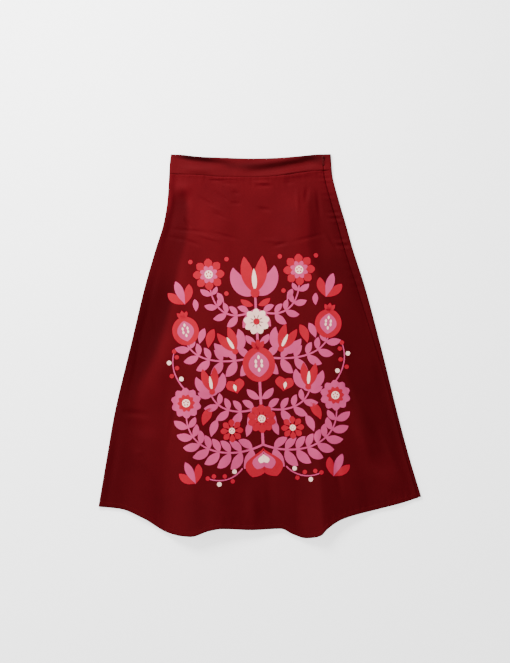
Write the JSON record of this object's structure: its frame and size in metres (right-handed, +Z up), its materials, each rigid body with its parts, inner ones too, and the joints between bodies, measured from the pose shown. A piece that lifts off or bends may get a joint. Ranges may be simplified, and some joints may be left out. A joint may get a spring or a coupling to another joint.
{
  "type": "midi skirt",
  "caption": "A-line midi skirt laid flat, front up, with a shaped waistband, a side zip and a folk floral print on the lower front.",
  "frame": {"origin": "on the surface the skirt lies on, under the middle of its bounding box", "axes": "+X to the viewer's right, the side with the zip; +Y from the hem to the waist; +Z up, out of the front"},
  "size_m": [0.6776, 0.8048, 0.0313],
  "materials": {
    "cotton": "fine sateen weave, low sheen",
    "cotton_band": "fine sateen weave, interfaced",
    "zip_tape": "matte",
    "zip_metal": "semi-gloss enamel",
    "print_pink": "matte pigment print",
    "print_coral": "matte pigment print",
    "print_cream": "matte pigment print"
  },
  "bodies": {
    "garment": {"front_panel": "cotton", "back_panel": "cotton", "front_waistband": "cotton_band", "back_waistband": "cotton_band", "zip_chain": "zip_tape", "zip_slider": "zip_metal"},
    "zip_pull": {"zip_pull": "zip_metal"}
  },
  "joints": [
    {"name": "zip_pull_hinge", "type": "hinge", "parent": "garment", "child": "zip_pull", "pos_m": [0.13243, 0.3961, 0.0092], "axis": [-1, 0, 0], "range_deg": [0, 170]}
  ]
}
